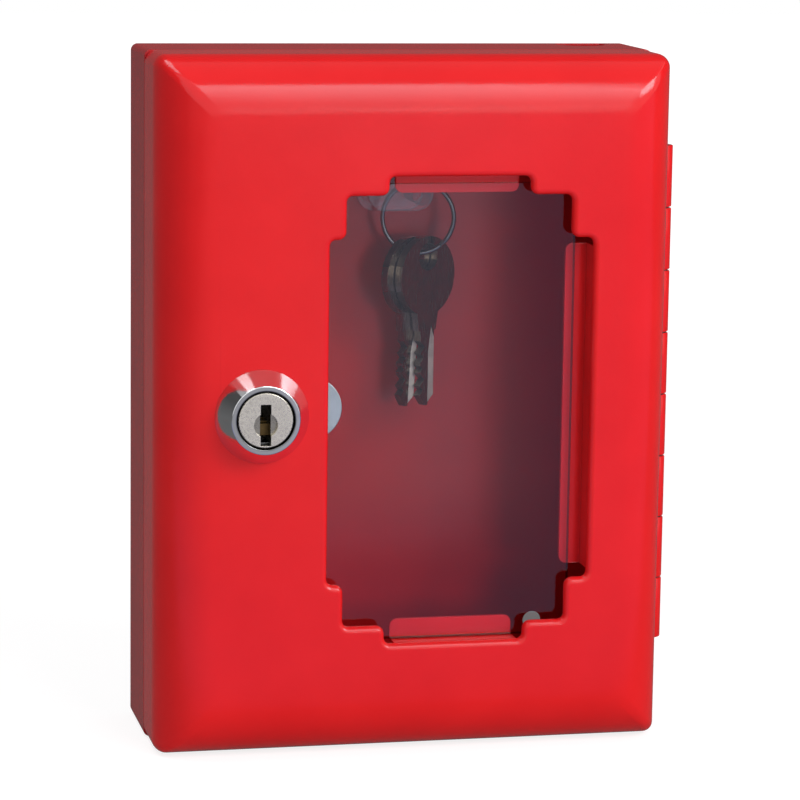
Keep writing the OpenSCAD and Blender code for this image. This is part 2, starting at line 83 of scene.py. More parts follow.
class Finish(Nodes):  # the nodes of a material, the world or a lamp
    def __init__(self, owner, kind="Material"):
        self.owner = owner
        owner.use_nodes = True
        super().__init__(owner.node_tree)
        self.tree.nodes.clear()
        self.out = self.tree.nodes.new("ShaderNodeOutput" + kind)

    def place(self):
        return self.add("ShaderNodeTexCoord", {}, {}, "Object")

    def along(self, axis, vector=None):  # one axis of a vector, or of the place
        return self.add("ShaderNodeSeparateXYZ", {}, {0: vector or self.place()}, axis)

    def vector(self, operation, first, second, output=0):
        return self.add("ShaderNodeVectorMath", {"operation": operation}, {0: first, 1: second}, output)

    def noise(self, size, detail, vector=None):
        sockets = {"Vector": vector or self.place(), "Scale": 1 / (size * mm), "Detail": detail}
        return self.add("ShaderNodeTexNoise", {}, sockets, "Fac")

    def spread(self, value, low, high):  # noise is nearly all between 0.3 and 0.7
        sockets = {"Value": value, "From Min": 0.3, "From Max": 0.7, "To Min": low, "To Max": high}
        return self.add("ShaderNodeMapRange", {}, sockets)

    def ramp(self, value, low, high, curve="LINEAR"):  # 0 to 1 between two distances
        return self.add("ShaderNodeMapRange", {"interpolation_type": curve}, {
            "Value": value, "From Min": low * mm, "From Max": high * mm})

    def ease(self, value, low, high):
        return self.ramp(value, low, high, "SMOOTHSTEP")

    def mixColour(self, factor, first, second):
        return self.add("ShaderNodeMix", {"data_type": "RGBA"}, {0: factor, 6: first, 7: second}, 2)

    def mixShader(self, factor, first, second):
        return self.add("ShaderNodeMixShader", {}, {0: factor, 1: first, 2: second})

    def bump(self, height, strength, depth):
        sockets = {"Height": height, "Strength": strength, "Distance": depth * mm}
        return self.add("ShaderNodeBump", {}, sockets)

    def coloured(self, kind, colour):
        return self.add("ShaderNode" + kind, {}, {"Color": colour})

    def rayIs(self, *kinds):  # 1 for a ray of one of these kinds
        found = 0.0
        for kind in kinds:
            isKind = self.add("ShaderNodeLightPath", {}, {}, "Is " + kind + " Ray")
            found = isKind.maths("MAXIMUM", isKind, found)
        return found

    def show(self, shader):
        self.tree.links.new(shader.socket, self.out.inputs["Surface"])
        return self.owner

    def showSurface(self, sockets):
        return self.show(self.add("ShaderNodeBsdfPrincipled", {}, sockets, "BSDF"))

    def showMetal(self, colour, roughness, grain, scratch, size):
        return self.showSurface({
            "Base Color": colour,
            "Metallic": 1.0,
            "Roughness": self.spread(grain, roughness * size["smoother"], roughness * size["rougher"]),
            "Normal": self.bump(grain, scratch, size["depth"]),
        })


def grey(level):
    return (level, level, level, 1)


def darker(colour, share):
    return (*(c * share for c in colour[:3]), 1)


# Powder coat: faint patches of shade, a fine orange peel, and highlights with less red
paintSet = {
    "patches": 18, "grain": 1.1, "fine": 0.4, "fineShare": 0.4, "smoother": 0.02, "rougher": 0.04,
    "depth": 0.05, "mirrors": (0.45, 0.93, 1, 1),
}


def steelPaint(name, colour, shade, roughness, peel):
    finish = Finish(bpy.data.materials.new(name))
    size = paintSet
    patches = finish.spread(finish.noise(size["patches"], detail=3.0), 0.0, 1.0)
    grain = finish.noise(size["grain"], detail=1.0)
    fine = finish.noise(size["fine"], detail=2.0)
    return finish.showSurface({
        "Base Color": finish.mixColour(patches, colour, shade),
        "Roughness": finish.spread(fine, roughness - size["smoother"], roughness + size["rougher"]),
        "Specular Tint": size["mirrors"],
        "Normal": finish.bump(grain + fine * size["fineShare"], peel, size["depth"]),
    })


# Plain metal: its grain varies its roughness, and in wider smears it keeps a share of its colour
plainSet = {"smearTimes": 8, "dull": 0.82, "smoother": 0.8, "rougher": 1.25, "depth": 0.02}


def plainMetal(name, colour, roughness, grainSize, scratch):
    finish = Finish(bpy.data.materials.new(name))
    size = plainSet
    grain = finish.noise(grainSize, detail=3.0)
    smear = finish.spread(finish.noise(grainSize * size["smearTimes"], detail=2.0), 0.0, 1.0)
    shaded = finish.mixColour(smear, colour, darker(colour, size["dull"]))
    return finish.showMetal(shaded, roughness, grain, scratch, size)


# Brushed metal: a grain of lines, drawn out along one axis
brushedSet = {
    "lines": 0.12, "drawnOut": 0.04, "smear": 3.0, "dull": 0.7, "smoother": 0.8, "rougher": 1.3,
    "depth": 0.02,
}


def brushedMetal(name, colour, roughness, along, scratch):
    finish = Finish(bpy.data.materials.new(name))
    size = brushedSet
    stretch = tuple(size["drawnOut"] if axis == along else 1.0 for axis in "xyz")
    drawn = finish.add("ShaderNodeMapping", {}, {"Vector": finish.place(), "Scale": stretch})
    lines = finish.noise(size["lines"], detail=3.0, vector=drawn)
    smear = finish.spread(finish.noise(size["smear"], detail=2.0), 0.0, 1.0)
    shaded = finish.mixColour(smear, colour, darker(colour, size["dull"]))
    return finish.showMetal(shaded, roughness, lines, scratch, size)


# The lock: its axis and its hole in the door's face, and painted shade in the gap between plug and housing
# and down the keyway.
# Radii and depths say where the painted shade starts and where it is full.
lockHole = {"x": -36.8, "z": -0.3, "radius": 9.15, "halfFlat": 8.15, "steps": 64}
gapShadeSet = {
    "grain": 0.5, "smear": 4.0, "leastClean": 0.82, "dull": 0.6, "shadeShare": 0.12, "smoother": 0.8,
    "rougher": 1.25, "scratch": 0.02, "depth": 0.01,
}


def lockMetal(name, colour, roughness, radii, depths=None):
    finish = Finish(bpy.data.materials.new(name))
    size = gapShadeSet
    flat = finish.vector("MULTIPLY", finish.place(), (1, 0, 1))
    radius = finish.vector("DISTANCE", flat, (lockHole["x"] * mm, 0, lockHole["z"] * mm), "Value")
    # Painted shade: darker in the gap between plug and housing, and down the keyway
    gapShade = finish.ramp(radius, *radii)
    if depths:
        gapShade = gapShade.maths("MAXIMUM", gapShade, finish.ramp(finish.along("Y"), *depths))
    grain = finish.noise(size["grain"], detail=3.0)
    smear = finish.spread(finish.noise(size["smear"], detail=3.0), size["leastClean"], 1.0)
    unshaded = finish.mixColour(smear, darker(colour, size["dull"]), colour)
    shaded = finish.mixColour(gapShade, unshaded, darker(colour, size["shadeShare"]))
    return finish.showMetal(shaded, roughness, grain, size["scratch"], size)


# Glass and clear plastic: light passes straight through, so that it reaches what is behind.
# Only faces turned to the ray mirror, with an index that stands for both sides.
clearSet = {"smear": 14, "film": 0.97, "rimBlend": 0.3}


def clearMaterial(name, tint, roughness, index, rim=None):
    finish = Finish(bpy.data.materials.new(name))
    # With a rim the clear stuff is darker where it is seen along its surface: a painted shade for the dark
    # outlines that bent light gives clear plastic
    if rim:  # the light that is left where it is seen along its surface
        shaded = finish.add("ShaderNodeLayerWeight", {}, {"Blend": clearSet["rimBlend"]}, "Facing")
    else:
        shaded = finish.spread(finish.noise(clearSet["smear"], detail=2.0), 0.0, 1.0)
    clear = finish.coloured("BsdfTransparent", tint)
    shade = finish.coloured("BsdfTransparent", darker(tint, rim or clearSet["film"]))
    shine = finish.add("ShaderNodeBsdfGlossy", {}, {"Roughness": roughness})
    inner = finish.add("ShaderNodeNewGeometry", {}, {}, "Backfacing")
    amount = finish.add("ShaderNodeFresnel", {}, {"IOR": index}) * (1 - inner)
    return finish.show(finish.mixShader(amount, finish.mixShader(shaded, clear, shade), shine))


redDoor = steelPaint("redDoorPaint", (0.79, 0.011, 0.013, 1), (0.74, 0.009, 0.011, 1), 0.15, peel=0.35)
redTray = steelPaint("redTrayPaint", (0.54, 0.011, 0.014, 1), (0.49, 0.010, 0.013, 1), 0.22, peel=0.35)
# chromePlate and plugNickel get painted shade in the gap between them, and plugNickel also down its keyway
chromePlate = lockMetal("chromePlate", (0.86, 0.87, 0.89, 1), roughness=0.08, radii=(7.0, 6.7))
plugNickel = lockMetal("plugNickel", (1, 0.93, 0.79, 1), 0.28, radii=(6.1, 6.35), depths=(-52.9, -51.8))
zincPlate = plainMetal("zincPlate", (0.72, 0.86, 0.90, 1), roughness=0.42, grainSize=0.8, scratch=0.15)
# The ring's steel is made darker, a painted shade for the dark that the ring mirrors
ringSteelShaded = plainMetal("ringSteelShaded", (0.24, 0.26, 0.29, 1), roughness=0.2, grainSize=0.6, scratch=0.1)
pinSteel = plainMetal("pinSteel", (0.5, 0.5, 0.52, 1), roughness=0.3, grainSize=0.6, scratch=0.15)
# The wafers' brass is made dark, a painted shade for wafers deep in the keyway
waferBrass = brushedMetal("waferBrass", (0.2, 0.13, 0.05, 1), roughness=0.3, along="z", scratch=0.2)
keyNickel = brushedMetal("keyNickel", (0.44, 0.39, 0.33, 1), roughness=0.22, along="z", scratch=0.25)
# The groove's floor has a rougher milled finish and is made brighter as a painted highlight; the cuts are
# made dark, a painted shade
keyMilledHighlight = brushedMetal("keyMilledHighlight", (0.86, 0.82, 0.74, 1), roughness=0.5, along="z", scratch=0.4)
keyCut = brushedMetal("keyCut", (0.16, 0.14, 0.12, 1), roughness=0.4, along="x", scratch=0.2)
clearGel = clearMaterial("clearGel", (0.98, 0.975, 0.97, 1), roughness=0.3, index=1.3)
pane = clearMaterial("windowPane", (0.985, 0.98, 0.985, 1), roughness=0.015, index=1.8)
paneEdge = clearMaterial("paneEdge", (0.35, 0.55, 0.42, 1), roughness=0.015, index=1.8)
# hookPlastic's rim is that painted shade at its edges
hookPlastic = clearMaterial("hookPlastic", (0.99, 0.95, 0.95, 1), roughness=0.03, index=2.0, rim=0.25)
print("finishes made")


def addPiece(name, mesh, finish, body, node):
    piece = bpy.data.objects.new(name, mesh)
    bpy.context.scene.collection.objects.link(piece)
    mesh.materials.clear()
    mesh.materials.append(finish)
    for face in mesh.polygons:
        face.use_smooth = True
    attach(piece, body)
    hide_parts(node)
    return piece


def meshFrom(name, points, faces):
    mesh = bpy.data.meshes.new(name)
    mesh.from_pydata([Vector(p) * mm for p in points], [], faces)
    form = bmesh.new()
    form.from_mesh(mesh)
    bmesh.ops.remove_doubles(form, verts=form.verts, dist=1e-7)
    bmesh.ops.recalc_face_normals(form, faces=form.faces)
    form.to_mesh(mesh)
    form.free()
    return mesh


def softenEdges(piece, width, limit=35):  # the limit is the least angle that counts as an edge
    bevel = piece.modifiers.new("softEdges", "BEVEL")
    bevel.width = width * mm
    bevel.segments = 2
    bevel.limit_method = "ANGLE"
    bevel.angle_limit = math.radians(limit)
    evenOut = piece.modifiers.new("evenShading", "WEIGHTED_NORMAL")
    evenOut.weight = 80
    evenOut.keep_sharp = True


def softened(node, finish, body, width, others=(), which=None):  # a solid with its edges broken
    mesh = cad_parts[node].data.copy()
    form = bmesh.new()
    form.from_mesh(mesh)
    bmesh.ops.remove_doubles(form, verts=form.verts, dist=1e-6)
    bmesh.ops.dissolve_limit(form, angle_limit=math.radians(0.5), verts=form.verts, edges=form.edges)
    form.to_mesh(mesh)
    form.free()
    first, *rest = node.split("_")
    name = first + "".join(word.capitalize() for word in rest) + "Piece"
    piece = addPiece(name, mesh, finish, body, node)
    for other in others:
        mesh.materials.append(other)
    for face in mesh.polygons:
        face.material_index = which(face.normal) if which else 0
    softenEdges(piece, width)


def stitchLoops(loops):  # faces between rings of points that have the same count
    points = [p for loop in loops for p in loop]
    faces = []
    count = len(loops[0])
    for k in range(len(loops) - 1):
        for i in range(count):
            j = (i + 1) % count
            faces.append((k * count + i, k * count + j, (k + 1) * count + j, (k + 1) * count + i))
    return points, faces


def quarterTurn(steps):  # the angles of a quarter turn, with both ends
    return [math.pi / 2 * k / steps for k in range(steps + 1)]


def roundedCorners(corners, radii, steps):  # a right-angled outline with its corners rounded
    loop = []
    for i, (corner, radius) in enumerate(zip(corners, radii)):
        here = Vector(corner)
        back = (Vector(corners[i - 1]) - here).normalized()
        on = (Vector(corners[(i + 1) % len(corners)]) - here).normalized()
        centre = here + radius * (back + on)
        for turn in quarterTurn(steps):
            loop.append(centre - radius * (on * math.cos(turn) + back * math.sin(turn)))
    return loop


# The door: one sheet swept from the rim over the bevel to the rolled edge of the window
doorSize = {
    "halfWidth": 60, "halfHeight": 80.5, "rim": -22.8, "bevelStart": -35.5, "bevelRadius": 12.5,
    "cornerRadius": 3.0, "mitreRadius": 2.0, "sheet": 1.0, "flatEdge": 0.4, "bevelSteps": 22,
    "cornerSteps": 8, "softEdge": 0.2, "edgeAngle": 60,
}
windowSize = {
    "x": 8.6, "z": -0.3, "halfWidths": (16.4, 26.2, 30.7), "halfHeights": (53.9, 49.6, 39.7),
    "sideShift": 0.7, "outerRadius": 1.4, "innerRadius": 1.9, "leastRadius": 0.3,
    "roll": 1.4, "lip": 1.8, "flatEdge": 0.4, "rollSteps": 8, "cornerSteps": 6,
}
faceY = doorSize["bevelStart"] - doorSize["bevelRadius"]


def doorLoop(inset, y):
    w, h = doorSize["halfWidth"] - inset, doorSize["halfHeight"] - inset
    radius = max(doorSize["cornerRadius"] - inset, doorSize["mitreRadius"])
    corners = [(w, h), (-w, h), (-w, -h), (w, -h)]
    loop = roundedCorners(corners, [radius] * 4, doorSize["cornerSteps"])
    return [(p.x, y, p.y) for p in loop]


def doorRings():  # from the rim over the bevel to the flat face
    size = doorSize
    rings = [doorLoop(0, size["rim"])]
    for turn in quarterTurn(size["bevelSteps"]):
        inset = size["bevelRadius"] * (1 - math.cos(turn))
        rings.append(doorLoop(inset, size["bevelStart"] - size["bevelRadius"] * math.sin(turn)))
    return rings + [doorLoop(size["bevelRadius"] + size["flatEdge"], faceY)]


def windowLoop(grow, depth):
    size = windowSize
    w1, w2, w3 = (w + grow for w in size["halfWidths"])
    h1, h2, h3 = (h + grow for h in size["halfHeights"])
    outer = size["outerRadius"] + grow
    inner = max(size["innerRadius"] - grow, size["leastRadius"])
    quarter = [(w3, h3, outer), (w2, h3, inner), (w2, h2, outer), (w1, h2, inner), (w1, h1, outer)]
    corners, radii = [], []
    for sx, sz in ((1, 1), (-1, 1), (-1, -1), (1, -1)):
        part = quarter if sx * sz > 0 else quarter[::-1]
        corners += [(sx * x + (size["sideShift"] if x == w3 else 0), sz * z) for x, z, _ in part]
        radii += [radius for _, _, radius in part]
    loop = roundedCorners(corners, radii, size["cornerSteps"])
    return [(p.x + size["x"], faceY + depth, p.y + size["z"]) for p in loop]


def windowRings():  # from the flat face down the rolled edge
    size = windowSize
    rings = [windowLoop(size["roll"] + size["flatEdge"], 0)]
    for turn in quarterTurn(size["rollSteps"]):
        rings.append(windowLoop(size["roll"] * (1 - math.sin(turn)), size["roll"] * (1 - math.cos(turn))))
    return rings + [windowLoop(0, size["lip"])]


def lockLoop():
    size = lockHole
    loop = []
    for k in range(size["steps"]):
        turn = 2 * math.pi * k / size["steps"]
        rise = min(max(size["radius"] * math.sin(turn), -size["halfFlat"]), size["halfFlat"])
        loop.append((size["x"] + size["radius"] * math.cos(turn), faceY, size["z"] + rise))
    return loop


def fillFlat(mesh, borders):  # the flat face between loops, each given by its first point and its count
    form = bmesh.new()
    form.from_mesh(mesh)
    form.verts.ensure_lookup_table()
    border = []
    for start, count in borders:
        for i in range(count):
            pair = (form.verts[start + i], form.verts[start + (i + 1) % count])
            border.append(form.edges.get(pair) or form.edges.new(pair))
    bmesh.ops.triangle_fill(form, use_beauty=True, use_dissolve=False, edges=border)
    bmesh.ops.recalc_face_normals(form, faces=form.faces)
    front = min(form.faces, key=lambda f: f.calc_center_median().y)
    if front.normal.y > 0:
        bmesh.ops.reverse_faces(form, faces=form.faces)
    form.to_mesh(mesh)
    form.free()


def buildDoor():
    rings, rolls, hole = doorRings(), windowRings(), lockLoop()
    points, faces = stitchLoops(rings)
    rollPoints, rollFaces = stitchLoops(rolls)
    rollStart = len(points)
    holeStart = rollStart + len(rollPoints)
    outerCount = len(rings[-1])
    borders = [(rollStart - outerCount, outerCount), (rollStart, len(rolls[0])), (holeStart, len(hole))]
    faces += [tuple(i + rollStart for i in face) for face in rollFaces]
    mesh = bpy.data.meshes.new("doorSheet")
    mesh.from_pydata([Vector(p) * mm for p in points + rollPoints + hole], [], faces)
    fillFlat(mesh, borders)
    piece = addPiece("doorSheet", mesh, redDoor, "door", "door")
    wall = piece.modifiers.new("sheet", "SOLIDIFY")
    wall.thickness = doorSize["sheet"] * mm
    wall.offset = -1
    wall.use_even_offset = True
    softenEdges(piece, doorSize["softEdge"], doorSize["edgeAngle"])


# Tabs and stops run back from the window's edge, and a tab with a reach bends out behind the glass
tabSize = {
    "start": 1.3, "front": 7.15, "sheet": 1.0, "bend": 1.1, "corner": 1.8, "setBack": 0.02, "steps": 6,
    "softEdge": 0.15, "edgeAngle": 50, "sideLength": 75.4, "sideReach": 4.9, "endLength": 29,
    "endReach": 4.3, "stopBack": 4.85, "stopLength": 5, "sideStops": 44.65, "endStops": 21.3,
}


def tabSection(end, reach, back):  # the outline across a tab, at a distance from its end
    size = tabSize
    inside = max(size["corner"] - end, 0)
    short = size["corner"] - math.sqrt(max(size["corner"] ** 2 - inside ** 2, 0))
    outline = [(0, size["start"]), (0, size["front"] if reach else back)]
    if reach:
        outline += [(short - reach, size["front"]), (short - reach, back)]
    for turn in quarterTurn(size["steps"]):
        outline.append((size["sheet"] - size["bend"] * (1 - math.sin(turn)),
                        back - size["bend"] * (1 - math.cos(turn))))
    return outline + [(size["sheet"], size["start"])]


def buildTab(name, place, turn, length, reach=0, along=0, isStop=False):
    size = tabSize
    back = size["stopBack"] if isStop else size["front"] + size["sheet"]
    shift = 0 if isStop else windowSize["sideShift"]
    rounds = quarterTurn(size["steps"])
    cuts = sorted({round(length / 2 - size["corner"] * (1 - math.cos(angle)), 4) for angle in rounds})
    stations = [-s for s in reversed(cuts)] + cuts
    slices = [[(u, v, s) for u, v in tabSection(length / 2 - abs(s), reach, back)] for s in stations]
    points, faces = stitchLoops(slices)
    count = len(slices[0])
    faces.append(tuple(range(count)))
    faces.append(tuple(range(len(points) - count, len(points))))
    spin = Matrix.Rotation(turn, 3, "Y")
    centre = Vector((windowSize["x"] + shift, faceY, windowSize["z"]))
    placed = [centre + spin @ Vector((place + size["setBack"] + u, v, s + along)) for u, v, s in points]
    piece = addPiece(name, meshFrom(name, placed, faces), redDoor, "door", "door")
    softenEdges(piece, size["softEdge"], size["edgeAngle"])


buildDoor()
(_, stepWidth, halfWidth), (halfHeight, stepHeight, _) = windowSize["halfWidths"], windowSize["halfHeights"]
right, left, up, down = 0, math.pi, -math.pi / 2, math.pi / 2
buildTab("rightTab", halfWidth, right, tabSize["sideLength"], tabSize["sideReach"])
buildTab("leftTab", halfWidth, left, tabSize["sideLength"])
buildTab("topTab", halfHeight, up, tabSize["endLength"], tabSize["endReach"])
buildTab("bottomTab", halfHeight, down, tabSize["endLength"], tabSize["endReach"])
stop = tabSize["stopLength"]
for side, label in ((-1, "Low"), (1, "High")):
    buildTab("leftStop" + label, stepWidth, left, stop, along=tabSize["sideStops"] * side, isStop=True)
    buildTab("topStop" + label, stepHeight, up, stop, along=tabSize["endStops"] * side, isStop=True)
print("door and window tabs made")


def paneFace(normal):  # 1 on the pane's edges
    return int(abs(normal.y) < 0.5)


# The keys' turn, and how a face's slope to the key's side tells its groove and its cuts
keySize = {"turn": 35.6, "groove": (0.9, 0.98), "cutSlope": 0.3, "cutRise": (0.3, 0.95)}
keyAngle = math.radians(keySize["turn"])
keySide = Vector((math.sin(keyAngle), -math.cos(keyAngle), 0))


# The groove's floor takes a milled finish with a painted highlight, and the cuts take painted shade
def keyFace(normal):  # 1 on the groove's floor, which slopes to the key's side, and 2 in the cuts
    slope, rise = abs(normal.dot(keySide)), abs(normal.z)
    if keySize["groove"][0] < slope < keySize["groove"][1]:
        return 1
    isCut = slope < keySize["cutSlope"] and keySize["cutRise"][0] < rise < keySize["cutRise"][1]
    return 2 if isCut else 0


softened("back_box", redTray, "box", 0.25)
softened("catch_bracket", redTray, "box", 0.15)
softened("hinge_pin", pinSteel, "box", 0.2)
softened("glass_pane", pane, "door", 0.1, [paneEdge], paneFace)
softened("lock_housing", chromePlate, "door", 0.18)
softened("lock_washer", zincPlate, "door", 0.1)
softened("lock_nut", zincPlate, "door", 0.2)
softened("lock_plug", plugNickel, "lock_core", 0.12)
for number in range(1, 5):
    softened(f"wafer_{number}", waferBrass, "lock_core", 0.05)
softened("lock_cam", zincPlate, "lock_core", 0.2)
softened("cam_washer", zincPlate, "lock_core", 0.1)
softened("cam_screw", zincPlate, "lock_core", 0.1)
softened("key_hook", hookPlastic, "box", 0.5)
softened("hook_pad", clearGel, "box", 0.15)
for key in ("front_key", "rear_key"):
    softened(key, keyNickel, key, 0.12, [keyMilledHighlight, keyCut], keyFace)
print("box, lock, hook and keys made")


class Grower(Nodes):  # a Geometry Nodes tree with named sizes
    def __init__(self, name, sizes):
        super().__init__(bpy.data.node_groups.new(name, "GeometryNodeTree"))
        inputs = {"Geometry": "Geometry", **sizes}
        for label, kind in inputs.items():
            self.tree.interface.new_socket(label, in_out="INPUT", socket_type="NodeSocket" + kind)
        self.tree.interface.new_socket("Geometry", in_out="OUTPUT", socket_type="NodeSocketGeometry")
        source = self.tree.nodes.new("NodeGroupInput")
        self.source = {label: Signal(self, source.outputs[label]) for label in inputs}
        self.sink = self.tree.nodes.new("NodeGroupOutput").inputs

    def end(self, geometry, finish):
        whole = self.add("GeometryNodeRealizeInstances", {}, {"Geometry": geometry})
        painted = self.add("GeometryNodeSetMaterial", {}, {"Geometry": whole, "Material": finish})
        self.tree.links.new(painted.socket, self.sink[0])

    def grow(self, start, sizes):  # start is a mesh or a curve that the tree works on
        holder = bpy.data.objects.new("holder", start)
        bpy.context.scene.collection.objects.link(holder)
        grown = holder.modifiers.new("grown", "NODES")
        grown.node_group = self.tree
        for item in self.tree.interface.items_tree:
            if item.in_out == "INPUT" and item.name in sizes:
                grown[item.identifier] = sizes[item.name]
        bpy.context.view_layer.update()
        mesh = bpy.data.meshes.new_from_object(holder.evaluated_get(bpy.context.evaluated_depsgraph_get()))
        bpy.data.objects.remove(holder)
        return mesh


# The hinge: a flat leaf for each side, and knuckles curled from it at every second pitch
hingeSize = {
    "x": 62.9, "y": -22.65, "top": 58.3, "pitch": 14.9, "gap": 0.3, "perSide": 4, "radius": 2.75,
    "bore": 1.75, "wall": -2.9, "leaf": 1.0, "leafWidth": 8.6, "edge": 3.05, "endBevel": 0.25,
    "endRound": 0.08, "roundShare": 0.3, "sides": 40, "stubStart": 0.6, "stubLap": 0.2, "softEdge": 0.25,
}


def boxForm(xs, ys, zs):  # a block between two places on each axis
    points = [(x, y, z) for z in zs for y in ys for x in xs]
    return points, [(0, 1, 3, 2), (4, 6, 7, 5), (0, 4, 5, 1), (2, 3, 7, 6), (0, 2, 6, 4), (1, 5, 7, 3)]


def knuckleForm(side):  # one knuckle with its stub of leaf, hanging down from its own top
    size = hingeSize
    low = size["gap"] - size["pitch"]
    radius, bore, bevel = size["radius"], size["bore"], size["endBevel"]
    rim, lap = radius - size["endRound"], bevel * size["roundShare"]
    profile = [(bore, 0), (radius - bevel, 0), (rim, -lap), (radius, -bevel), (radius, low + bevel),
               (rim, low + lap), (radius - bevel, low), (bore, low)]
    turns = [2 * math.pi * k / size["sides"] for k in range(size["sides"])]
    loops = [[(r * math.cos(a), r * math.sin(a), z) for a in turns] for r, z in profile]
    points, faces = stitchLoops(loops + loops[:1])
    ends = (side * size["stubStart"], side * (size["edge"] + size["stubLap"]))
    stub, stubFaces = boxForm((size["wall"], size["wall"] + size["leaf"]), ends, (0, low))
    faces += [tuple(i + len(points) for i in face) for face in stubFaces]
    return meshFrom("knuckle", points + stub, faces)


def buildLeaf(name, node, body, side, first):
    size = hingeSize
    knuckle = bpy.data.objects.new("knuckle", knuckleForm(side))
    rows = Grower("hingeKnuckles", {"Knuckle": "Object", "Count": "Int", "Spacing": "Float"})
    step = rows.add("ShaderNodeCombineXYZ", {}, {"Z": rows.source["Spacing"]})
    line = rows.add("GeometryNodeMeshLine", {}, {"Count": rows.source["Count"], "Offset": step})
    form = rows.add("GeometryNodeObjectInfo", {}, {"Object": rows.source["Knuckle"]}, "Geometry")
    copies = rows.add("GeometryNodeInstanceOnPoints", {}, {"Points": line, "Instance": form})
    rows.end(copies, redDoor)
    mesh = rows.grow(bpy.data.meshes.new("start"), {
        "Knuckle": knuckle, "Count": size["perSide"], "Spacing": -2 * size["pitch"] * mm})
    bpy.data.objects.remove(knuckle)
    top = size["top"] - size["gap"] / 2 - first * size["pitch"]
    mesh.transform(Matrix.Translation(Vector((size["x"], size["y"], top)) * mm))
    addPiece(name + "Knuckles", mesh, redDoor, body, node)
    x = size["x"] + size["wall"]
    ends = sorted(size["y"] + side * reach for reach in (size["edge"], size["edge"] + size["leafWidth"]))
    bottom = size["top"] - size["pitch"] * 2 * size["perSide"]
    block = meshFrom(name, *boxForm((x, x + size["leaf"]), ends, (size["top"], bottom)))
    leaf = addPiece(name, block, redDoor, body, node)
    softenEdges(leaf, size["softEdge"])


buildLeaf("boxLeaf", "hinge_leaf_box", "box", side=1, first=0)
buildLeaf("doorLeaf", "hinge_leaf_door", "door", side=-1, first=1)
print("hinge made")

# The split ring: one wire wound twice round, stepping over beside its two ends. Angles are in degrees.
ringSize = {
    "x": 7.2, "y": -10, "z": 40, "turn": -12.5, "radius": 8.45, "wire": 0.55, "half": 0.52,
    "start": -48, "step": 26, "short": 3, "points": 220, "sides": 14,
}


def ringWire():
    size = ringSize
    path = bpy.data.curves.new("ringPath", "CURVE")
    path.dimensions = "3D"
    spline = path.splines.new("POLY")
    spline.points.add(size["points"] - 1)
    spin = Matrix.Rotation(math.radians(size["turn"]), 3, "Z")
    centre = Vector((size["x"], size["y"], size["z"]))
    for i in range(size["points"]):
        swept = (720 - size["short"]) * i / (size["points"] - 1)
        over = min(max((swept - 360 + size["step"] / 2) / size["step"], 0), 1)
        side = size["half"] * (1 - 2 * (3 * over * over - 2 * over ** 3))
        angle = math.radians(size["start"] + swept)
        point = Vector((size["radius"] * math.cos(angle), side, size["radius"] * math.sin(angle)))
        spline.points[i].co = (*((centre + spin @ point) * mm), 1)
    wire = Grower("ringWire", {"Radius": "Float", "Sides": "Int"})
    circle = wire.add("GeometryNodeCurvePrimitiveCircle", {}, {
        "Resolution": wire.source["Sides"], "Radius": wire.source["Radius"]})
    tube = wire.add("GeometryNodeCurveToMesh", {}, {
        "Curve": wire.source["Geometry"], "Profile Curve": circle, "Fill Caps": True})
    wire.end(tube, ringSteelShaded)
    return wire.grow(path, {"Radius": size["wire"] * mm, "Sides": size["sides"]})


addPiece("ringWire", ringWire(), ringSteelShaded, "ring", "split_ring")
print("split ring made")

# The camera, at the photograph's place and angle
viewSet = {
    "place": (-168.29, -782.72, 131.12), "right": (0.976608, -0.214568, 0.01405),
    "down": (-0.022534, -0.167104, -0.985682), "ahead": (0.213844, 0.962308, -0.16803),
    "lens": 151.243, "sensor": 36, "nearest": 10,
}
camera = bpy.data.objects.new("camera", bpy.data.cameras.new("camera"))
bpy.context.scene.collection.objects.link(camera)
camera.data.lens = viewSet["lens"]
camera.data.sensor_width = viewSet["sensor"]
camera.data.clip_start = viewSet["nearest"] * mm
axes = Matrix((viewSet["right"], -Vector(viewSet["down"]), -Vector(viewSet["ahead"]))).transposed().to_4x4()
camera.matrix_world = Matrix.Translation(Vector(viewSet["place"]) * mm) @ axes
bpy.context.scene.camera = camera


def addCard(name, corners, finish):  # a flat sheet of the studio, which isn't part of the object
    mesh = bpy.data.meshes.new(name)
    mesh.from_pydata([Vector(p) * mm for p in corners], [], [(0, 1, 2, 3)])
    mesh.materials.append(finish)
    card = bpy.data.objects.new(name, mesh)
    bpy.context.scene.collection.objects.link(card)
    return card


def level(xs, ys, z):  # the corners of a card that lies flat
    return [(xs[0], ys[0], z), (xs[1], ys[0], z), (xs[1], ys[1], z), (xs[0], ys[1], z)]


def upright(start, end, top):  # the corners of a card that stands on the floor
    return [(*start, floorSet["z"]), (*end, floorSet["z"]), (*end, top), (*start, top)]


# The floor: white to the camera, with a soft shadow, and pale in front where the pane mirrors it.
# A pair of distances says where a change starts and ends. An edge is a line that the pane mirrors
# upright: its x below the door's face, and how far right it goes for each millimetre forward.
floorSet = {
    "z": -80.5, "halfSize": 3000,
    "pale": (0.54, 0.55, 0.7, 1), "dark": (0.25, 0.26, 0.42, 1), "dim": (0.3, 0.3, 0.32, 1), "unlit": 0.13,
    "rightEdge": (18, 0.2536), "rightSoft": (-20, 30), "leftEdge": (-30, 0.188), "leftSoft": (-30, 70),
    "litFront": (20, 80), "litLeft": (-600, -200), "darkFront": (160, 340),
    "glow": (0.82, 1.0), "glowRun": (300, 900), "seen": 0.3,
    "diffuse": 0.6, "diffuseBehind": 0.2, "behindStart": (0, 60), "behindEnd": (400, 800),
    "holeSees": (60.5, 79, -80.5), "holeRun": (16, 26),
}


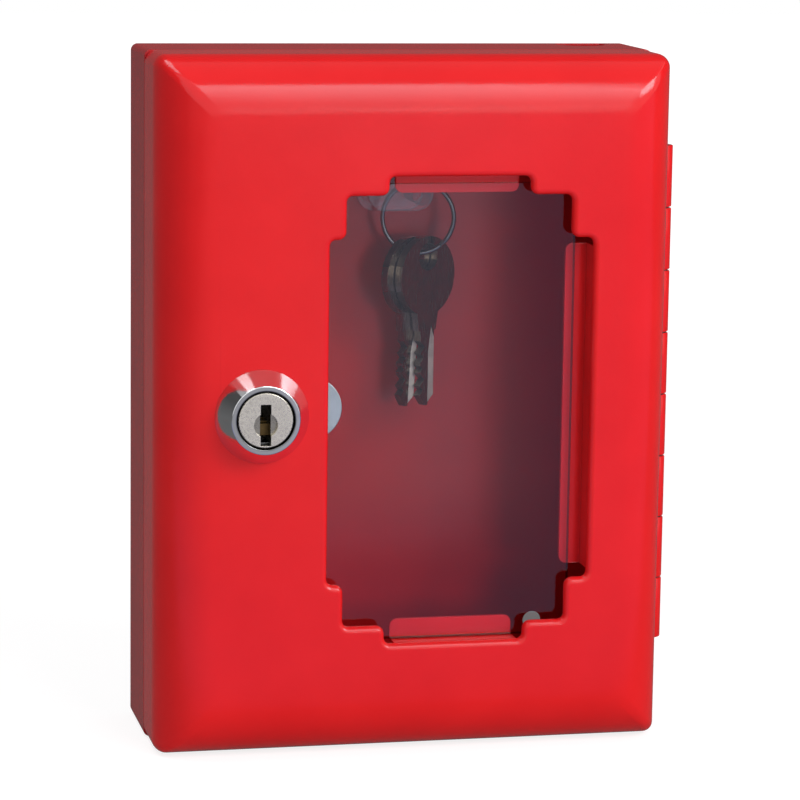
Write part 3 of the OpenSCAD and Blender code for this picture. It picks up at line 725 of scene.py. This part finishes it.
def mirroredFloor(finish):  # what glass, metal and paint mirror
    x, away = finish.along("X"), faceY * mm - finish.along("Y")

    def past(edge):
        return x - edge[0] * mm - away * edge[1]

    right = finish.ease(past(floorSet["rightEdge"]), *floorSet["rightSoft"])
    left = finish.ease(past(floorSet["leftEdge"]), *floorSet["leftSoft"])
    front = finish.ease(away, *floorSet["litFront"]) * finish.ease(x, *floorSet["litLeft"])
    beyond = finish.ease(away, *floorSet["darkFront"]) * (1 - right)
    lightest = finish.mixColour(left, floorSet["dim"], floorSet["pale"])
    lit = finish.mixColour(beyond, floorSet["dark"], lightest)
    return finish.coloured("Emission", finish.mixColour(front, grey(floorSet["unlit"]), lit))


def seenFloor(finish):  # what the camera sees
    far = finish.vector("DISTANCE", finish.place(), (0, 0, 0), "Value")
    near, distant = floorSet["glow"]
    glow = finish.mixColour(finish.ease(far, *floorSet["glowRun"]), grey(near), grey(distant))
    return finish.add("ShaderNodeAddShader", {}, {
        0: finish.coloured("BsdfDiffuse", grey(floorSet["seen"])), 1: finish.coloured("Emission", glow)})


def floorFinish():
    finish = Finish(bpy.data.materials.new("paleFloor"))
    y = finish.along("Y")
    # Behind the object the plain floor is darker: a painted shadow
    behind = finish.ease(y, *floorSet["behindStart"]) * (1 - finish.ease(y, *floorSet["behindEnd"]))
    plain = finish.coloured("BsdfDiffuse", finish.mixColour(
        behind, grey(floorSet["diffuse"]), grey(floorSet["diffuseBehind"])))
    unseen = finish.mixShader(finish.rayIs("Glossy", "Transmission"), plain, mirroredFloor(finish))
    # Through the pane and a wall hole the camera sees the plain floor here, with its painted shadow, not
    # the white glow
    clearFaces = finish.add("ShaderNodeLightPath", {}, {}, "Transparent Depth")
    spot = tuple(v * mm for v in floorSet["holeSees"])
    fromSpot = finish.vector("DISTANCE", finish.place(), spot, "Value")
    isClear = clearFaces.maths("MINIMUM", clearFaces, 1.0)
    shaded = isClear * (1 - finish.ease(fromSpot, *floorSet["holeRun"]))
    return finish.show(finish.mixShader(finish.rayIs("Camera") * (1 - shaded), unseen, seenFloor(finish)))


floorRun = (-floorSet["halfSize"], floorSet["halfSize"])
addCard("floor", level(floorRun, floorRun, floorSet["z"]), floorFinish())


# Cards that only reflections show: grey ones around and above, so that the paint's sides mirror little,
# and a bright one that makes a streak on the lock's cone
cardRise = (-80, 500)


def cardFinish(name, low, high):  # one light near the floor and another from half a metre up
    finish = Finish(bpy.data.materials.new(name))
    rise = finish.ramp(finish.along("Z"), *cardRise)
    return finish.show(finish.coloured("Emission", finish.mixColour(rise, grey(low), grey(high))))


flagGrey = cardFinish("flagGrey", 0.13, 0.07)
cardSet = {
    "topFlag": (level((-1400, 1000), (550, -700), 1100), cardFinish("topGrey", 0.4, 0.4)),
    "glowCard": (level((-560, -240), (-420, -150), 920), cardFinish("glowWhite", 4, 4)),
    "rearFlag": (upright((-1400, 550), (1000, 550), 1100), flagGrey),
    "leftFlag": (upright((-1000, -900), (-1000, 560), 1000), flagGrey),
    "rightFlag": (upright((1000, -250), (1000, 560), 900), flagGrey),
}
for name, (corners, finish) in cardSet.items():
    card = addCard(name, corners, finish)
    card.visible_camera = card.visible_diffuse = card.visible_shadow = card.visible_transmission = False

# The world: white to the camera, metal and glass, and a soft fill for the rest
worldSet = {"seen": (1, 1, 1, 1), "fill": (0.4, 0.4, 0.405, 1)}
studio = Finish(bpy.data.worlds.new("studio"), "World")
isSeen = studio.rayIs("Camera", "Glossy", "Transmission")
shade = studio.mixColour(isSeen, worldSet["fill"], worldSet["seen"])
bpy.context.scene.world = studio.show(studio.coloured("Background", shade))

# The lamps: a tall soft strip, a box to the right, one above to the left, and a low front fill
lampSet = {
    "strip": {"place": (224, -836.5, 500), "size": (280, 900), "power": 3.0},
    "broad": {"place": (567, -630, 530), "size": (420, 420), "power": 4.5},
    "above": {"place": (-350, 120, 930), "size": (600, 400), "power": 2.6},
    "fill": {"place": (200, -970, 90), "size": (200, 120), "power": 1.5},
}
lampAim = Vector((0, -30, 0))
stripFade = {"from": 0.3, "least": 0.18}


def fadeDown(lamp):  # full at the top, and its least light up to a share of its height
    finish = Finish(lamp, "Light")
    height = finish.along("Y", finish.add("ShaderNodeNewGeometry", {}, {}, "Parametric"))
    rise = finish.add("ShaderNodeMapRange", {}, {
        "Value": height, "From Min": stripFade["from"], "To Min": stripFade["least"]})
    finish.show(finish.add("ShaderNodeEmission", {}, {"Strength": rise}))


for name, wanted in lampSet.items():
    lamp = bpy.data.lights.new(name, "AREA")
    lamp.shape = "RECTANGLE"
    lamp.size, lamp.size_y = (length * mm for length in wanted["size"])
    lamp.energy = wanted["power"]
    if name == "strip":
        fadeDown(lamp)
    place = Vector(wanted["place"])
    holder = bpy.data.objects.new(name, lamp)
    holder.location = place * mm
    holder.rotation_euler = (lampAim - place).to_track_quat("-Z", "Y").to_euler()
    holder.visible_camera = False
    holder.visible_glossy = name != "fill"
    bpy.context.scene.collection.objects.link(holder)
bpy.context.scene.view_settings.view_transform = "Standard"
bpy.context.scene.cycles.transparent_max_bounces = 32  # the pane, the hook and its pad are many faces
print("camera, floor and light set")
